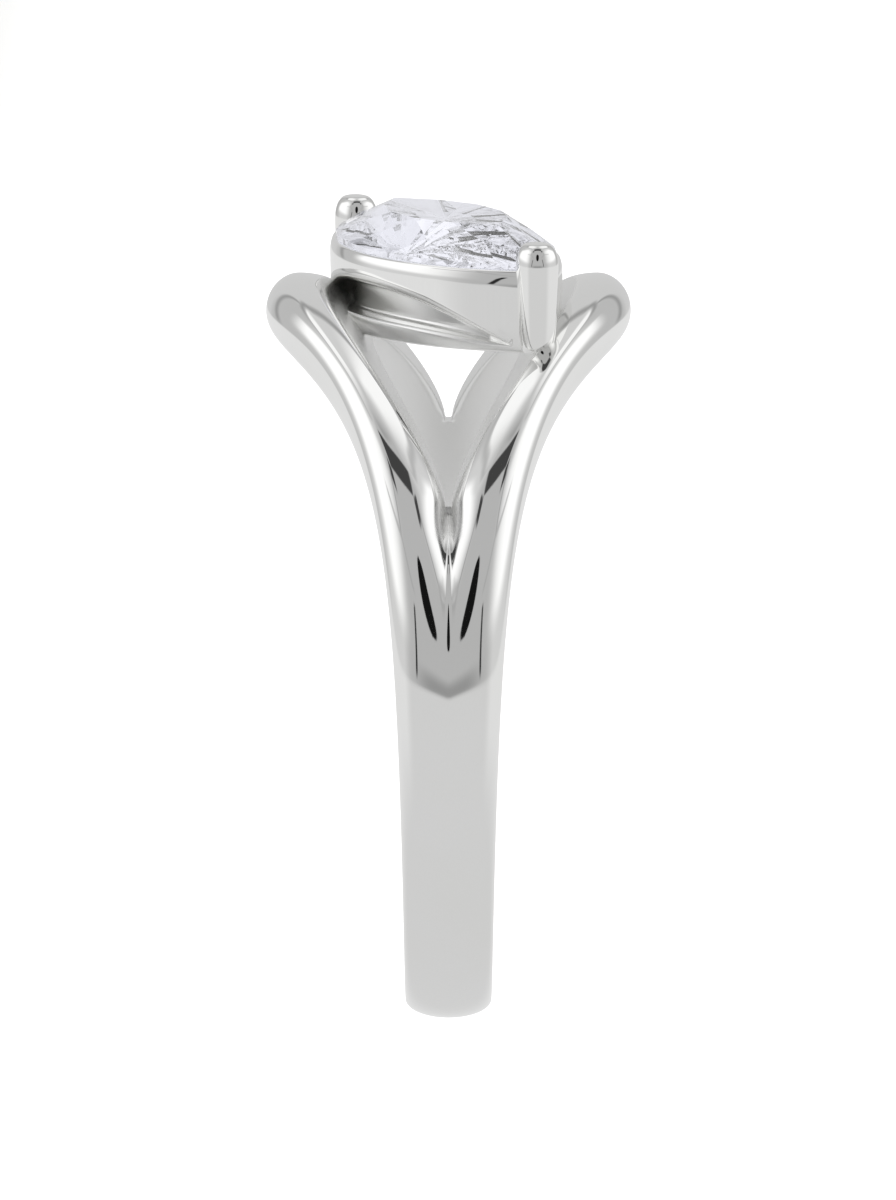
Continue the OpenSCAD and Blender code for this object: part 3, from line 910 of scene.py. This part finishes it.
# The tent's cloth glows by its own brightness attribute, with a faint weave
def litTentCloth(colour):
    material, tree = newMaterial("white tent cloth, woven and lit from behind")
    glow = addNode(tree, "ShaderNodeAttribute", {"attribute_name": "glow"})
    coordinates = addNode(tree, "ShaderNodeTexCoord")
    weave = addNode(tree, "ShaderNodeTexNoise", {"Scale": 1 / (40 * mm), "Detail": 2.0},
                    {"Vector": coordinates.outputs["Object"]})
    even = addNode(tree, "ShaderNodeMapRange", {"To Min": 0.97, "To Max": 1.03}, {"Value": weave.outputs["Fac"]})
    level = addNode(tree, "ShaderNodeMath", {"operation": "MULTIPLY"})
    tree.links.new(glow.outputs["Fac"], level.inputs[0])
    tree.links.new(even.outputs["Result"], level.inputs[1])
    light = addNode(tree, "ShaderNodeEmission", {"Color": linear(colour)}, {"Strength": level.outputs["Value"]})
    addNode(tree, "ShaderNodeOutputMaterial", None, {"Surface": light.outputs["Emission"]})
    # the dome surrounds everything, so rays find it by themselves and the render stays quick
    material.cycles.emission_sampling = "NONE"
    return material


# A dome whose brightness comes from a function of the two angles, its grey turned to light by the sRGB curve
def buildTent(name, settings, greyAt):
    across = np.arange(-180, 180 + tent["step"] / 2, tent["step"])
    up = np.arange(-90, 90 + tent["step"] / 2, tent["step"])
    u, a = np.meshgrid(np.radians(up), np.radians(across), indexing="ij")
    direction = np.stack([np.cos(u) * np.sin(a), -np.cos(u) * np.cos(a), np.sin(u)], -1)
    grid = direction @ ringAxes * settings["radius"]
    glow = brightness(np.clip(greyAt(np.degrees(a), np.degrees(u)) / 255, 0, 2)) / tent["metalShare"]
    mesh = bpy.data.meshes.new(name)
    mesh.from_pydata(grid.reshape(-1, 3).tolist(), [], gridFaces(*u.shape).tolist())
    setPointValue(mesh, "glow", glow)
    mesh.materials.append(litTentCloth(settings["colour"]))
    piece = bpy.data.objects.new(name, mesh)
    bpy.context.scene.collection.objects.link(piece)
    piece.visible_camera = False
    piece.visible_shadow = False
    return piece


# What the stone shows is paler and nearly even; only the dark card and strip stay as grey patches
stoneTent = {"radius": 2.5, "colour": "#F9FAFE", "level": 252, "keep": 0.7, "pivot": 215}


def stoneTentGrey(across, up):
    return stoneTent["level"] + stoneTent["keep"] * np.minimum(tentGrey(across, up) - stoneTent["pivot"], 0)


# A wide lamp overhead brings the paper up to white; the metal and the stone don't show it
paperLamp = {"height": 1.6, "size": 1.6, "power": 30.0}
lampData = bpy.data.lights.new("paper lamp", "AREA")
lampData.size = paperLamp["size"]
lampData.energy = paperLamp["power"]
lamp = bpy.data.objects.new("paper lamp", lampData)
lamp.location = (0, 0, paperLamp["height"])
lamp.visible_glossy = False
lamp.visible_transmission = False
lamp.visible_camera = False
bpy.context.scene.collection.objects.link(lamp)

metalDome = buildTent("light_tent", tent, tentGrey)
metalDome.visible_transmission = False
stoneDome = buildTent("light_tent_stone", stoneTent, stoneTentGrey)
stoneDome.visible_glossy = False
stoneDome.visible_diffuse = False
print("studio built")

# Camera: level with the finger's axis as in a product shot, 9.6 degrees above the ring's own horizon
camera = {
    "elevation": 9.6,
    "distance": 750.0,
    "viewHeight": 33.8,
    "sensor": 36.0,
    "pixelsPerMm": 35.5,
    # the picture's middle from the finger hole's, in picture pixels
    "aimX": -0.5,
    "aimUp": 45.0,
    "clip": (0.01, 20),
}


# Looks at the aim point from the distance, turned up by the elevation about the finger's axis
def buildCamera():
    tilt = math.radians(camera["elevation"])
    back = np.array([0, -math.cos(tilt), math.sin(tilt)])
    up = np.array([0, math.sin(tilt), math.cos(tilt)])
    target = (up * camera["aimUp"] + np.array([camera["aimX"], 0, 0])) / camera["pixelsPerMm"]
    data = bpy.data.cameras.new("product camera")
    data.sensor_fit = "VERTICAL"
    data.sensor_height = camera["sensor"]
    data.sensor_width = camera["sensor"]
    data.lens = camera["distance"] * camera["sensor"] / camera["viewHeight"]
    data.clip_start, data.clip_end = camera["clip"]
    cam = bpy.data.objects.new("product camera", data)
    bpy.context.scene.collection.objects.link(cam)
    z = aim(back)
    y = aim(up)
    x = y.cross(z)
    turn = Matrix((x, y, z)).transposed().to_4x4()
    turn.translation = Vector(place(target + back * camera["distance"]))
    cam.matrix_world = turn
    bpy.context.scene.camera = cam


buildCamera()
bpy.context.scene.view_settings.view_transform = "Standard"
# a mirror inside a mirror needs many bounces before it stops looking black
bounces = {"max_bounces": 24, "glossy_bounces": 20, "transmission_bounces": 20}
for kind, count in bounces.items():
    setattr(bpy.context.scene.cycles, kind, count)
